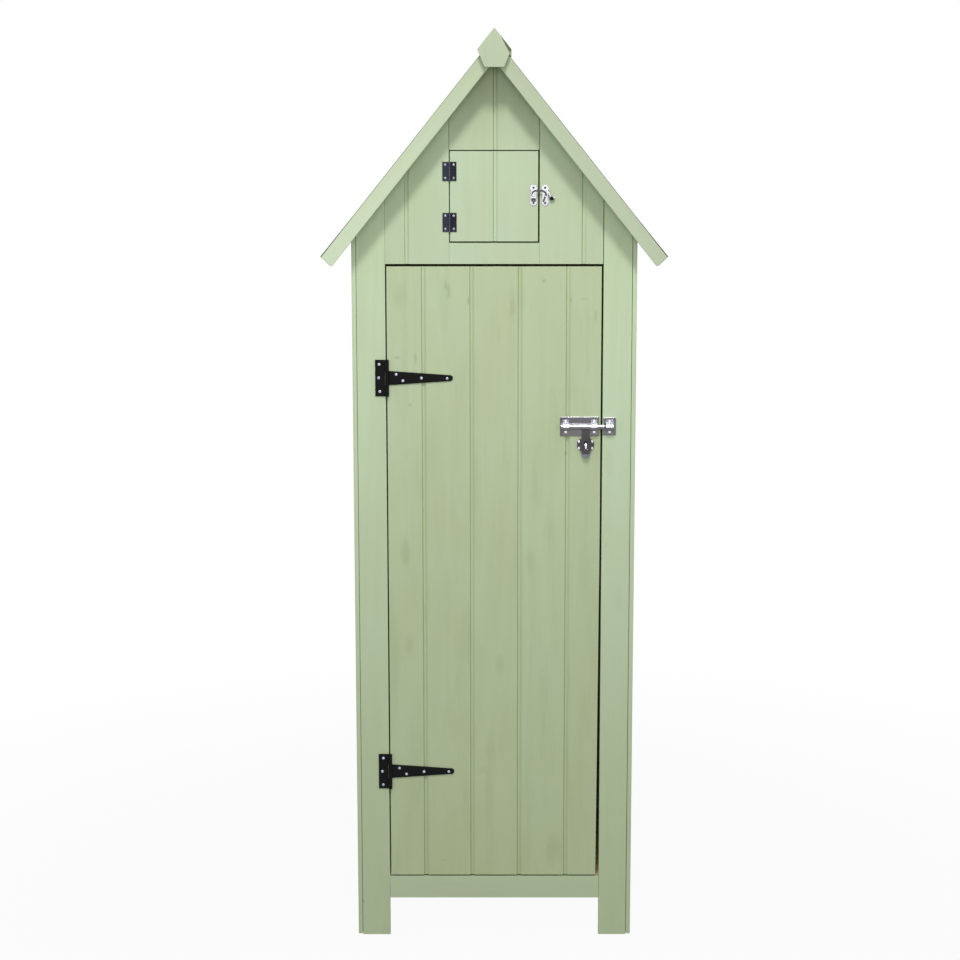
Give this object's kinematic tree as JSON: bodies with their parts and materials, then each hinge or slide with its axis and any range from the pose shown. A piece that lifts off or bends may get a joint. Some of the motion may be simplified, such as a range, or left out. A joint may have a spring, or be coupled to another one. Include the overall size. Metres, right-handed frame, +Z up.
{
  "type": "wooden garden shed",
  "caption": "Narrow wooden garden tool shed on corner legs, with a steep gabled felt roof, a hinged boarded door, a padbolt and a small hatch in the gable.",
  "frame": {"origin": "on the ground, at the middle of the bounding box seen from above", "axes": "+Z up, -Y towards the front with the door, +X to the right seen from the front"},
  "size_m": [0.6574, 0.566, 1.7966],
  "materials": {
    "sage_paint": "pale sage green paint, satin, grain showing",
    "door_paint": "pale sage green paint, a little yellower, satin, grain and knots showing",
    "bare_pine": "planed, untreated",
    "roof_felt": "mineral roofing felt, rough",
    "black_iron": "black coating, satin",
    "bright_metal": "bright zinc plating"
  },
  "bodies": {
    "frame": {"front_left_stile": "sage_paint", "front_right_stile": "sage_paint", "back_left_stile": "sage_paint", "back_right_stile": "sage_paint", "left_corner_boards": "sage_paint", "right_corner_boards": "sage_paint", "front_sill": "sage_paint", "back_sill": "sage_paint", "left_wall": "sage_paint", "right_wall": "sage_paint", "back_wall": "sage_paint", "gable_left_boards": "sage_paint", "gable_right_boards": "sage_paint", "gable_top_boards": "sage_paint", "hatch_sill_board": "sage_paint", "hatch_panel": "sage_paint", "left_roof_boards": "sage_paint", "right_roof_boards": "sage_paint", "front_left_bargeboard": "sage_paint", "front_right_bargeboard": "sage_paint", "back_left_bargeboard": "sage_paint", "back_right_bargeboard": "sage_paint", "left_ridge_cap": "sage_paint", "right_ridge_cap": "sage_paint", "front_ridge_block": "sage_paint", "back_ridge_block": "sage_paint", "floor_bearers": "bare_pine", "floor_boards": "bare_pine", "eaves_rails": "bare_pine", "door_head_rail": "bare_pine", "front_rafters": "bare_pine", "back_rafters": "bare_pine", "hatch_ledges": "bare_pine", "left_roof_felt": "roof_felt", "right_roof_felt": "roof_felt", "hatch_hinges": "black_iron", "upper_hinge_plate": "black_iron", "lower_hinge_plate": "black_iron", "hatch_latch": "bright_metal", "hatch_keeper": "bright_metal", "bolt_keep": "bright_metal"},
    "door": {"door_boards": "door_paint", "door_ledges": "bare_pine", "upper_hinge_strap": "black_iron", "lower_hinge_strap": "black_iron", "bolt_base": "bright_metal", "bolt_bar": "bright_metal", "bolt_staple": "bright_metal"}
  },
  "joints": [
    {"name": "door_hinge", "type": "hinge", "parent": "frame", "child": "door", "pos_m": [-0.2068, -0.2191, 0.738], "axis": [0, 0, -1], "range_deg": [0, 120]}
  ]
}
